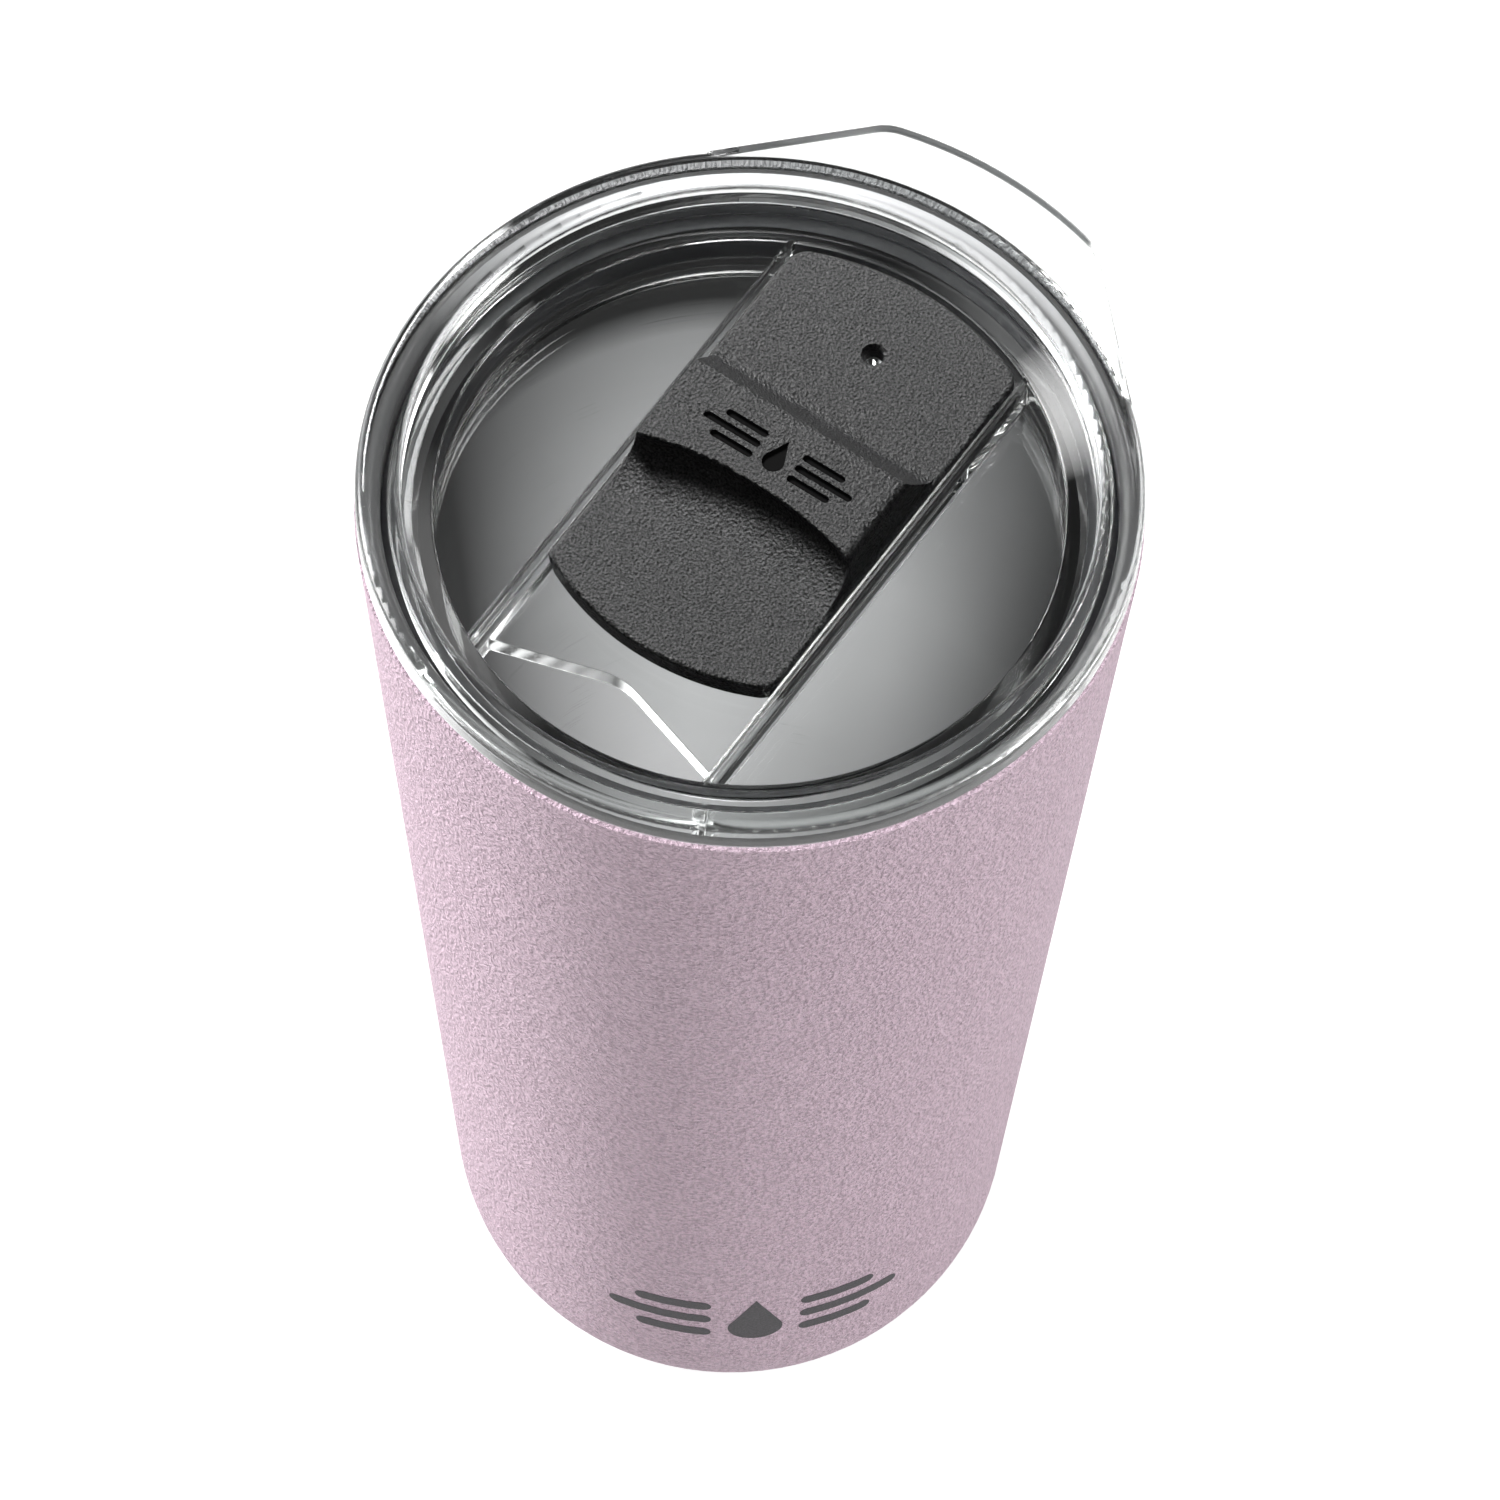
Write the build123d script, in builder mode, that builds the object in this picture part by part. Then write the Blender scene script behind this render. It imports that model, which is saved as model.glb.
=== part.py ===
"""Vacuum-insulated drinks tumbler with a clear press-in lid and a sliding drink stopper.

Units are millimetres. The origin is the centre of the base pad's resting face, +Z is up,
the lid's pull tab points to +Y and the drink opening lies towards -Y.
The stopper is drawn slid back, with the drink opening uncovered.
"""
from build123d import *
from math import atan, cos, degrees, hypot, radians, sin, sqrt
import os

# Outer wall
RIM_Z = 168.0              # top of the steel rim, where the lid rests
SHELL_RIM_R = 44.3         # outer radius at the rim
SHELL_TAPER = 0.066        # radius lost per millimetre of drop
SHELL_WALL = 0.6
SHELL_TOP_GAP = 0.5        # the outer wall stops this far below the rim
BELLY_R = 26.0             # large arc that turns the side under
FOOT_R = 7.0               # small arc from the belly to the foot
FOOT_BREAK = 38.0          # degrees below horizontal where belly meets foot
FOOT_Z = 0.5               # the base pad stands this far proud of the steel foot
FOOT_RING_R = 21.0         # radius of the steel lip that holds the base disc
FOOT_LIP_H = 2.6

# Inner wall
MOUTH_R = 41.4             # inside radius at the mouth
MOUTH_DEPTH = 14.0         # straight section that the gasket seals against
LINER_TAPER = 0.078
LINER_WALL = 0.5
LINER_FLOOR_Z = 10.5
LINER_CORNER_R = 13.0
RIM_HEM_DROP = 2.8         # the rim rolls over and its hem reaches this far down inside the outer wall
WELD_GAP = 0.02

# Base
DISC_WALL = 0.6
DISC_RIM_LIFT = 0.2        # the disc's turned-down rim stops this far above the steel foot
DIMPLE_R = 4.0
DIMPLE_DEPTH = 0.8
EVAC_HOLE_R = 0.7
SOLDER_R = 3.0
SOLDER_T = 0.6
SOLDER_SLOPE = 30.0        # degrees that the bead's side leans in
PAD_R = 19.7
PAD_DISC_Z = 2.0           # top of the pad, against the base disc
PAD_CHAMFER = 0.4
PAD_GROOVE_R = (15.5, 16.7)
PAD_GROOVE_DEPTH = 0.4
GETTER_R = 4.0
GETTER_T = 1.8
GETTER_X = 11.5
GETTER_CHAMFER = 0.3
GETTER_CUP_WALL = 0.5
GETTER_CUP_FLOOR = 0.3
GETTER_CUP_H = 2.0
PRESS_GAP = 0.02           # drawn gap between pieces that touch all round

# Lid ring
LID_SEAT_Z = RIM_Z + 0.02
FLANGE_R = 44.15
LID_TOP_Z = 172.5
RING_INNER_R = 39.0        # vertical inner face of the raised ring
LEDGE_OUTER_Z = 168.8
WELL_R = 35.5              # round well inside the ledge
LEDGE_INNER_Z = 167.0
SKIRT_R = 40.3
SKIRT_BOTTOM_Z = 157.8
GROOVE_R = 38.6
GROOVE_TOP_Z = 164.4
GROOVE_BOTTOM_Z = 160.8
# Corner radii of the lid's ring section, from the skirt's inner foot, up and round
LID_RADII = [0.3, 0.4, 0.5, 0.8, 1.1, 0.7, 0.3, 0, 0, 0, 0, 0.8]

# Pull tab
TAB_R = 50.35
TAB_ROOT = (29.0, 33.3)
TAB_CORNER_X = 14.25
TAB_CORNER_FILLET = 6.0
TAB_T = 3.1
TAB_EDGE = 0.5
TAB_OVERLAP = 1.5          # the tab's plan reaches this far into the ring

# Channel, rails and side pockets
RAIL_TOP_Z = 167.0
RAIL_OUTER_X = 16.4
RAIL_LIP_X = 15.65
RAIL_GROOVE_X = 15.9
RAIL_LIP_Z = 165.35        # underside of the rail's retaining lip
CHANNEL_Z = 164.0
CHANNEL_T = 2.4
POCKET_Z = 161.2
POCKET_T = 1.8
FLOOR_OVERLAP = 0.5        # floors and rails reach this far into the ring
LONG = 4 * WELL_R          # longer than anything inside the well
OPENING_APEX_Y = -24.7
OPENING_SHOULDER = (15.0, -29.3)
OPENING_FILLET = 2.4
OPENING_APEX_FILLET = 8.0
OPENING_SILL = 0.3         # the opening stops this far inside the well's wall
VENT_Y = 24.8
VENT_R = 1.1
VENT_FLARE = 0.4           # countersink round the stopper's vent

# Lid gasket
GASKET_GAP = 0.05          # above, below and against the liner
GASKET_BODY_R = SKIRT_R - 0.2
LOWER_LIP_Z = (0.8, 1.3)   # tip and root of the lower lip, above the ring's lower face
UPPER_LIP_Z = (0.5, 1.3)   # tip and root of the upper lip, below the ring's upper face

# Sliding stopper
TRAVEL = 13.3              # open to closed, towards -Y
STOPPER_HALF_W = 15.2
STOPPER_BOTTOM_Z = CHANNEL_Z + 0.05
STOPPER_PLATE_Z = 166.5
STOPPER_FRONT_Y = -21.4
STOPPER_FRONT_R = 32.0
STOPPER_BACK_R = 35.0
STOPPER_CORNER = 2.6
STOPPER_EDGE = 0.5
RUNNER_HALF_W = 15.82      # side runners caught under the rail lips
RUNNER_TOP_Z = 165.25
RUNNER_Y = (-17.4, 30.0)
RUNNER_CORNER = 1.2
GRIP_TOP_Z = 170.7
GRIP_CREST_Y = 1.0         # crest of the finger scoop on the centre line
GRIP_CREST_R = 48.2        # crest's plan radius, centred in front of the grip
GRIP_SCOOP_LENGTH = 6.2    # from the crest forward to where the scoop runs out on the plate
GRIP_FRONT_Y = -7.0
GRIP_BACK_Y = 10.6
GRIP_TOE_Y = 14.4
GRIP_DRAFT = 0.7           # each side of the grip leans in by this much at the top
GRIP_SIDE_FILLET = 1.4
GRIP_BACK_FILLET = 1.4
GRIP_TOE_FILLET = 2.5
GRIP_CREST_FILLET = 0.35
MARK_Y = 5.4               # middle of the engraved mark
MARK_DEPTH = 0.4
DROP_R = 1.3
DROP_LOW_Y = MARK_Y - 0.9  # centre of the drop's round end
DROP_TIP_Y = MARK_Y + 2.3
BAR_INNER_X = 2.4          # from the centre line to the bars
BAR_PITCH = 1.6
BAR_T = 0.9
BAR_LENGTHS = (5.6, 7.6, 5.6)
SEAL_HALF_W = 12.6
SEAL_Y = (-19.3, -3.2)
SEAL_CORNER = 4.0
SEAL_RECESS = 0.9
SEAL_CLEAR = 0.03          # the seal's running gap over the channel floor


def finish(part, name):
    """Label a finished piece and write it out."""
    part.label = name
    export_step(part, f"parts/{name}.step")


def shell_outline(inset):
    """Half section of the outer wall's envelope, closed along the axis, moved in by inset."""
    lean = atan(SHELL_TAPER)
    side_x = SHELL_RIM_R - SHELL_TAPER * RIM_Z
    foot_cz = FOOT_Z + FOOT_R
    belly_cz = foot_cz + (BELLY_R - FOOT_R) * sin(radians(FOOT_BREAK))
    belly_cx = side_x + SHELL_TAPER * belly_cz - BELLY_R / cos(lean)
    foot_cx = belly_cx + (BELLY_R - FOOT_R) * cos(radians(FOOT_BREAK))
    top_z = RIM_Z - SHELL_TOP_GAP
    top_x = SHELL_RIM_R - SHELL_TAPER * SHELL_TOP_GAP - inset / cos(lean)
    with BuildLine() as outline:
        base = Line((0, FOOT_Z + inset), (foot_cx, FOOT_Z + inset))
        foot = CenterArc((foot_cx, foot_cz), FOOT_R - inset, -90, 90 - FOOT_BREAK)
        belly = CenterArc((belly_cx, belly_cz), BELLY_R - inset, -FOOT_BREAK, FOOT_BREAK - degrees(lean))
        side = Line(belly @ 1, (top_x, top_z))
        Polyline(side @ 1, (0, top_z), base @ 0)
    return outline.line


# Outer wall: spun and tapered steel tube, turned in at the foot to a short upright lip
with BuildPart() as outer_shell:
    with BuildSketch(Plane.XZ):
        with BuildLine():
            add(shell_outline(0))
        make_face()
    revolve(axis=Axis.Z)
    with BuildSketch(Plane.XZ):
        with BuildLine():
            add(shell_outline(SHELL_WALL))
        make_face()
    revolve(axis=Axis.Z, mode=Mode.SUBTRACT)
    with BuildSketch(Plane.XY.offset(FOOT_Z)):
        Circle(FOOT_RING_R + SHELL_WALL)
        Circle(FOOT_RING_R, mode=Mode.SUBTRACT)
    extrude(amount=FOOT_LIP_H)
    with BuildSketch(Plane.XY.offset(FOOT_Z)):
        Circle(FOOT_RING_R)
    extrude(amount=SHELL_WALL, mode=Mode.SUBTRACT)

# Inner wall: one drawn steel cup with a rolled rim and a hem that is welded into the outer wall
with BuildPart() as inner_liner:
    with BuildSketch(Plane.XZ):
        with BuildLine():
            straight_z = RIM_Z - MOUTH_DEPTH
            hem_x = SHELL_RIM_R - SHELL_TAPER * RIM_HEM_DROP - SHELL_WALL - WELD_GAP
            roll_r = (hem_x - MOUTH_R) / 2
            roll_x = MOUTH_R + roll_r
            roll_z = RIM_Z - roll_r
            hem_z = RIM_Z - RIM_HEM_DROP
            floor_x = MOUTH_R - LINER_TAPER * (straight_z - LINER_FLOOR_Z)
            Polyline((0, LINER_FLOOR_Z), (floor_x, LINER_FLOOR_Z), (MOUTH_R, straight_z), (MOUTH_R, roll_z))
            CenterArc((roll_x, roll_z), roll_r, 180, -180)
            Polyline((hem_x, roll_z), (hem_x, hem_z), (hem_x - LINER_WALL, hem_z),
                     (hem_x - LINER_WALL, roll_z))
            CenterArc((roll_x, roll_z), roll_r - LINER_WALL, 0, 180)
            Polyline((MOUTH_R + LINER_WALL, roll_z), (MOUTH_R + LINER_WALL, straight_z),
                     (floor_x + LINER_WALL, LINER_FLOOR_Z - LINER_WALL), (0, LINER_FLOOR_Z - LINER_WALL),
                     (0, LINER_FLOOR_Z))
        make_face()
    revolve(axis=Axis.Z)
    floor_edges = inner_liner.edges().filter_by(GeomType.CIRCLE).group_by(Axis.Z)
    fillet(floor_edges[1], LINER_CORNER_R)
    fillet(inner_liner.edges().filter_by(GeomType.CIRCLE).group_by(Axis.Z)[0], LINER_CORNER_R + LINER_WALL)

# Base disc: pressed steel cap welded inside the foot lip, with a dimple for the evacuation hole
with BuildPart() as base_disc:
    disc_top_z = PAD_DISC_Z + DISC_WALL
    with BuildSketch(Plane.XY.offset(PAD_DISC_Z)):
        Circle(FOOT_RING_R)
    extrude(amount=DISC_WALL)
    with BuildSketch(Plane.XY.offset(FOOT_Z + DISC_RIM_LIFT)):
        Circle(FOOT_RING_R)
        Circle(FOOT_RING_R - DISC_WALL, mode=Mode.SUBTRACT)
    extrude(until=Until.NEXT)
    with BuildSketch(Plane.XY.offset(disc_top_z)):
        Circle(DIMPLE_R + DISC_WALL)
    extrude(amount=DIMPLE_DEPTH)
    with BuildSketch(Plane.XY.offset(PAD_DISC_Z)):
        Circle(DIMPLE_R)
    extrude(amount=DIMPLE_DEPTH, mode=Mode.SUBTRACT)
    Cylinder(EVAC_HOLE_R, 4 * FOOT_LIP_H, mode=Mode.SUBTRACT)

# Vacuum seal: solder bead that fills the dimple and plugs the evacuation hole
with BuildPart() as vacuum_seal:
    with BuildSketch(Plane.XY.offset(PAD_DISC_Z + DIMPLE_DEPTH)):
        Circle(SOLDER_R)
    extrude(amount=-SOLDER_T, taper=SOLDER_SLOPE)
    with BuildSketch(Plane.XY.offset(PAD_DISC_Z + DIMPLE_DEPTH)):
        Circle(EVAC_HOLE_R - PRESS_GAP)
    extrude(amount=DISC_WALL)

# Getter cup: small steel cup on the base disc, inside the vacuum space
with BuildPart() as getter_cup:
    with BuildSketch(Plane.XY.offset(disc_top_z)):
        with Locations((GETTER_X, 0)):
            Circle(GETTER_R + GETTER_CUP_WALL)
    extrude(amount=GETTER_CUP_H)
    with BuildSketch(Plane.XY.offset(disc_top_z + GETTER_CUP_FLOOR)):
        with Locations((GETTER_X, 0)):
            Circle(GETTER_R + PRESS_GAP)
    extrude(amount=GETTER_T, mode=Mode.SUBTRACT)

# Getter pill: pressed tablet that takes up stray gas for the life of the vacuum
with BuildPart() as getter_pill:
    with BuildSketch(Plane.XY.offset(disc_top_z + GETTER_CUP_FLOOR)):
        with Locations((GETTER_X, 0)):
            Circle(GETTER_R)
    extrude(amount=GETTER_T)
    chamfer(getter_pill.edges().group_by(Axis.Z)[-1], GETTER_CHAMFER)

# Base pad: silicone disc glued over the base disc, with a shallow grip groove
with BuildPart() as base_pad:
    with BuildSketch():
        Circle(PAD_R)
    extrude(amount=PAD_DISC_Z)
    chamfer(base_pad.edges().group_by(Axis.Z)[0], PAD_CHAMFER)
    with BuildSketch():
        Circle(PAD_GROOVE_R[1])
        Circle(PAD_GROOVE_R[0], mode=Mode.SUBTRACT)
    extrude(amount=PAD_GROOVE_DEPTH, mode=Mode.SUBTRACT)

# Lid: one clear moulding with a raised ring, pull tab, gasket skirt, side pockets and rails
with BuildPart() as lid_body:
    with BuildSketch(Plane.XZ):
        with BuildLine():
            FilletPolyline((WELL_R, SKIRT_BOTTOM_Z), (WELL_R, LEDGE_INNER_Z), (RING_INNER_R, LEDGE_OUTER_Z),
                           (RING_INNER_R, LID_TOP_Z), (FLANGE_R, LID_TOP_Z), (FLANGE_R, LID_SEAT_Z),
                           (SKIRT_R, LID_SEAT_Z), (SKIRT_R, GROOVE_TOP_Z), (GROOVE_R, GROOVE_TOP_Z),
                           (GROOVE_R, GROOVE_BOTTOM_Z), (SKIRT_R, GROOVE_BOTTOM_Z), (SKIRT_R, SKIRT_BOTTOM_Z),
                           radius=LID_RADII, close=True)
        make_face()
    revolve(axis=Axis.Z)
    tab_corner_y = sqrt(TAB_R**2 - TAB_CORNER_X**2)
    with BuildSketch(Plane.XY.offset(LID_TOP_Z)) as tab_plan:
        with BuildLine():
            left_side = Line((-TAB_ROOT[0], TAB_ROOT[1]), (-TAB_CORNER_X, tab_corner_y))
            outer_edge = ThreePointArc(left_side @ 1, (0, TAB_R), (TAB_CORNER_X, tab_corner_y))
            right_side = Line(outer_edge @ 1, TAB_ROOT)
            Line(right_side @ 1, left_side @ 0)
        make_face()
        fillet(tab_plan.vertices().group_by(Axis.Y)[-1], TAB_CORNER_FILLET)
        Circle(FLANGE_R - TAB_OVERLAP, mode=Mode.SUBTRACT)
    extrude(amount=-TAB_T)
    tab_edges = lid_body.edges().filter_by(lambda edge: edge.center().Y > TAB_ROOT[1] + 2
                                           and hypot(edge.center().X, edge.center().Y) > FLANGE_R + 0.5)
    fillet(tab_edges.filter_by(Axis.Z, reverse=True), TAB_EDGE)
    with BuildSketch(Plane.XY.offset(POCKET_Z)):
        Circle(WELL_R + FLOOR_OVERLAP)
        Rectangle(2 * RAIL_LIP_X, LONG, mode=Mode.SUBTRACT)
    extrude(amount=-POCKET_T)
    with BuildSketch(Plane.XY.offset(CHANNEL_Z)):
        Circle(WELL_R + FLOOR_OVERLAP)
        Rectangle(2 * RAIL_OUTER_X, LONG, mode=Mode.INTERSECT)
    extrude(amount=-CHANNEL_T)
    with BuildSketch(Plane.XY.offset(RAIL_TOP_Z)):
        Circle(WELL_R + FLOOR_OVERLAP)
        Rectangle(2 * RAIL_OUTER_X, LONG, mode=Mode.INTERSECT)
        Rectangle(2 * RAIL_LIP_X, LONG, mode=Mode.SUBTRACT)
    extrude(amount=POCKET_Z - POCKET_T - RAIL_TOP_Z)
    with BuildSketch(Plane.XY.offset(CHANNEL_Z)):
        Circle(WELL_R)
        Rectangle(2 * RAIL_GROOVE_X, LONG, mode=Mode.INTERSECT)
    extrude(amount=RAIL_LIP_Z - CHANNEL_Z, mode=Mode.SUBTRACT)
    shoulder_x, shoulder_y = OPENING_SHOULDER
    with BuildSketch(Plane.XY.offset(CHANNEL_Z)) as opening:
        with BuildLine():
            Polyline((-shoulder_x, -WELL_R), (-shoulder_x, shoulder_y), (0, OPENING_APEX_Y),
                     (shoulder_x, shoulder_y), (shoulder_x, -WELL_R), close=True)
        make_face()
        fillet(opening.vertices().group_by(Axis.Y)[-1], OPENING_APEX_FILLET)
        fillet(opening.vertices().group_by(Axis.Y)[-3], OPENING_FILLET)
        Circle(WELL_R - OPENING_SILL, mode=Mode.INTERSECT)
    extrude(amount=-2 * CHANNEL_T, mode=Mode.SUBTRACT)
    with Locations((0, VENT_Y, CHANNEL_Z)):
        Hole(VENT_R)

# Lid gasket: silicone ring in the skirt groove, with two wiping lips
with BuildPart() as lid_gasket:
    low_z = GROOVE_BOTTOM_Z + GASKET_GAP
    high_z = GROOVE_TOP_Z - GASKET_GAP
    bore_r = GROOVE_R + PRESS_GAP
    lip_r = MOUTH_R - GASKET_GAP
    with BuildSketch(Plane.XZ):
        with BuildLine():
            Polyline((bore_r, low_z), (GASKET_BODY_R, low_z), (lip_r, low_z + LOWER_LIP_Z[0]),
                     (GASKET_BODY_R, low_z + LOWER_LIP_Z[1]), (GASKET_BODY_R, high_z - UPPER_LIP_Z[1]),
                     (lip_r, high_z - UPPER_LIP_Z[0]), (GASKET_BODY_R, high_z), (bore_r, high_z), close=True)
        make_face()
    revolve(axis=Axis.Z)

# Finger grip of the stopper: drafted block with a sloping back and a quarter-round front scoop
with BuildPart() as grip:
    grip_low_z = STOPPER_PLATE_Z - STOPPER_EDGE
    grip_half_w = STOPPER_HALF_W - STOPPER_EDGE
    with BuildSketch(Plane.YZ):
        with BuildLine():
            heel_y = GRIP_TOE_Y + GRIP_TOE_FILLET
            FilletPolyline((GRIP_FRONT_Y, grip_low_z), (GRIP_FRONT_Y, GRIP_TOP_Z), (GRIP_BACK_Y, GRIP_TOP_Z),
                           (GRIP_TOE_Y, STOPPER_PLATE_Z), (heel_y, STOPPER_PLATE_Z), (heel_y, grip_low_z),
                           radius=[0, 0, GRIP_BACK_FILLET, GRIP_TOE_FILLET, 0, 0], close=True)
        make_face()
    extrude(amount=grip_half_w, both=True)
    with BuildSketch(Plane.XZ):
        with BuildLine():
            FilletPolyline((-grip_half_w, grip_low_z), (-grip_half_w, STOPPER_PLATE_Z),
                           (GRIP_DRAFT - grip_half_w, GRIP_TOP_Z), (grip_half_w - GRIP_DRAFT, GRIP_TOP_Z),
                           (grip_half_w, STOPPER_PLATE_Z), (grip_half_w, grip_low_z),
                           radius=[0, 0, GRIP_SIDE_FILLET, GRIP_SIDE_FILLET, 0, 0], close=True)
        make_face()
    extrude(amount=WELL_R, both=True, mode=Mode.INTERSECT)
    with BuildSketch(Plane.YZ):
        with BuildLine():
            axis_y = GRIP_CREST_Y - GRIP_CREST_R
            crest_z = GRIP_TOP_Z - GRIP_CREST_FILLET
            hollow = EllipticalCenterArc((GRIP_CREST_Y - GRIP_SCOOP_LENGTH, crest_z), GRIP_SCOOP_LENGTH,
                                         crest_z - STOPPER_PLATE_Z, start_angle=-90, arc_size=90)
            crest = CenterArc((GRIP_CREST_Y + GRIP_CREST_FILLET, crest_z), GRIP_CREST_FILLET, 180, -90)
            Polyline(crest @ 1, (GRIP_CREST_Y + GRIP_CREST_FILLET, GRIP_TOP_Z + 1), (axis_y, GRIP_TOP_Z + 1),
                     (axis_y, STOPPER_PLATE_Z), hollow @ 0)
        make_face()
    revolve(axis=Axis((0, axis_y, 0), (0, 0, 1)), mode=Mode.SUBTRACT)

# Stopper: black moulding with side runners, the finger grip and a vent hole
with BuildPart() as stopper:
    front_cy = STOPPER_FRONT_Y + STOPPER_FRONT_R
    with BuildSketch(Plane.XY.offset(STOPPER_BOTTOM_Z)) as plate:
        Rectangle(2 * STOPPER_HALF_W, LONG)
        Circle(STOPPER_BACK_R, mode=Mode.INTERSECT)
        with Locations((0, front_cy)):
            Circle(STOPPER_FRONT_R, mode=Mode.INTERSECT)
        fillet(plate.vertices(), STOPPER_CORNER)
    extrude(amount=STOPPER_PLATE_Z - STOPPER_BOTTOM_Z)
    fillet(stopper.edges().group_by(Axis.Z)[-1], STOPPER_EDGE)
    add(grip)

    # Side runners
    with BuildSketch(Plane.XY.offset(STOPPER_BOTTOM_Z)):
        with Locations((0, (RUNNER_Y[0] + RUNNER_Y[1]) / 2)):
            RectangleRounded(2 * RUNNER_HALF_W, RUNNER_Y[1] - RUNNER_Y[0], RUNNER_CORNER)
    extrude(amount=RUNNER_TOP_Z - STOPPER_BOTTOM_Z)

    # Seat for the seal under the front plate
    with BuildSketch(Plane.XY.offset(STOPPER_BOTTOM_Z)):
        with Locations((0, (SEAL_Y[0] + SEAL_Y[1]) / 2)):
            RectangleRounded(2 * SEAL_HALF_W, SEAL_Y[1] - SEAL_Y[0], SEAL_CORNER)
    extrude(amount=SEAL_RECESS, mode=Mode.SUBTRACT)

    with Locations((0, VENT_Y, STOPPER_PLATE_Z)):
        CounterSinkHole(VENT_R, VENT_R + VENT_FLARE)

    # Engraved generic mark: a drop between two stacks of three bars
    with BuildSketch(Plane.XY.offset(GRIP_TOP_Z)):
        with BuildLine():
            drop_low = CenterArc((0, DROP_LOW_Y), DROP_R, 150, 240)
            Polyline(drop_low @ 1, (0, DROP_TIP_Y), drop_low @ 0)
        make_face()
        for row, length in enumerate(BAR_LENGTHS):
            bar_x = BAR_INNER_X + length / 2
            bar_y = MARK_Y + (row - 1) * BAR_PITCH
            with Locations((-bar_x, bar_y), (bar_x, bar_y)):
                SlotOverall(length, BAR_T)
    extrude(amount=-MARK_DEPTH, mode=Mode.SUBTRACT)

# Stopper seal: soft pad under the front plate that covers the drink opening when shut
with BuildPart() as stopper_seal:
    seal_low_z = CHANNEL_Z + SEAL_CLEAR
    with BuildSketch(Plane.XY.offset(seal_low_z)):
        with Locations((0, (SEAL_Y[0] + SEAL_Y[1]) / 2)):
            RectangleRounded(2 * (SEAL_HALF_W - PRESS_GAP), SEAL_Y[1] - SEAL_Y[0] - 2 * PRESS_GAP,
                             SEAL_CORNER)
    extrude(amount=STOPPER_BOTTOM_Z + SEAL_RECESS - seal_low_z)

os.makedirs("parts", exist_ok=True)
finish(outer_shell.part, "outer_shell")
finish(inner_liner.part, "inner_liner")
finish(base_disc.part, "base_disc")
finish(vacuum_seal.part, "vacuum_seal")
finish(getter_cup.part, "getter_cup")
finish(getter_pill.part, "getter_pill")
finish(base_pad.part, "base_pad")
finish(lid_body.part, "lid_body")
finish(lid_gasket.part, "lid_gasket")
finish(stopper.part, "stopper")
finish(stopper_seal.part, "stopper_seal")
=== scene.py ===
"""Looks of the insulated tumbler: materials, printed mark, stage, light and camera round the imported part.

Units are metres, in the part's own frame: +Z up along the axis, +Y towards the pull tab. An azimuth is in
degrees round the axis: 0 stands on -Y, and 90 on +X. An elevation is in degrees above the horizon.
"""

import math

import bmesh
import bpy
from mathutils import Matrix, Vector


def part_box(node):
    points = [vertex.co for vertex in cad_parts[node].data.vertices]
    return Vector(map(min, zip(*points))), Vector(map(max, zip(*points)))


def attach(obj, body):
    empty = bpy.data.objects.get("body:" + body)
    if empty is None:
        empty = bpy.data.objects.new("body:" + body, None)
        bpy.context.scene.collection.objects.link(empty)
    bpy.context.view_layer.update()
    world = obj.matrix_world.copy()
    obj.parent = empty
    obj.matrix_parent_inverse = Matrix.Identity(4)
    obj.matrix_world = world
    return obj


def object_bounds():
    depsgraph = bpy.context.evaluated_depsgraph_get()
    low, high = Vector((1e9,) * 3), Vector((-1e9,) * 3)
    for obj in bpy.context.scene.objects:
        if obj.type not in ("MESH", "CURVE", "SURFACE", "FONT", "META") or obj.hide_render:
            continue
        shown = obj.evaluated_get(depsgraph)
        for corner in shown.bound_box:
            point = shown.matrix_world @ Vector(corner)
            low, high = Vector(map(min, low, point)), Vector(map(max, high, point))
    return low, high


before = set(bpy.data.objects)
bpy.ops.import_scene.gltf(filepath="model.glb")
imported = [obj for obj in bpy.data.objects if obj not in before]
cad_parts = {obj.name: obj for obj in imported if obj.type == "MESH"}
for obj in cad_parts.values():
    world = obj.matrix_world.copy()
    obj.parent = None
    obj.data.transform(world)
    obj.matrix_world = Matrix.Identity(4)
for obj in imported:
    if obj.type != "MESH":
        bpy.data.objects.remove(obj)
cad_low, cad_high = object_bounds()
rim_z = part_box("inner_liner")[1].z
grip_top_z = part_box("stopper")[1].z

MM = 0.001

# Camera
CAMERA_AZIMUTH = 33.0
CAMERA_REACH = 0.535       # distance from the axis
CAMERA_HEIGHT = 1.0734
CAMERA_PITCH = 60.93       # degrees below the horizon
CAMERA_YAW = 0.05
CAMERA_ROLL = 1.87
CAMERA_LENS = 225.56
CAMERA_SENSOR = 36.0

# Sides of the picture, as azimuths
LEFT = CAMERA_AZIMUTH - 90
RIGHT = CAMERA_AZIMUTH + 90
BEHIND = CAMERA_AZIMUTH + 180

# Floor and world brightness
FLOOR_HALF = 4.0
FLOOR_GLOW = 0.86          # how bright the floor looks to the camera before any light falls on it
FLOOR_THROUGH = 0.80       # the same, seen straight through one clear wall
FLOOR_DEEP = (0.26, 0.75)  # the same, through more walls or mirrored: towards the front left, the back right
FLOOR_BOUNCE = 0.58        # how much of the glow lights the tumbler's matt faces
FLOOR_NEAR = (0.20, 0.40)  # reach of the part that is seen straight through the clear plastic
FLOOR_TURN = 0.25          # how far from the middle the floor's two sides differ in full
WORLD_SEEN = 0.95
WORLD_MATT = 0.46          # light that the world gives to matt faces
WORLD_MIRRORED = 0.02      # world that shows in polished faces and through them

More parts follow.
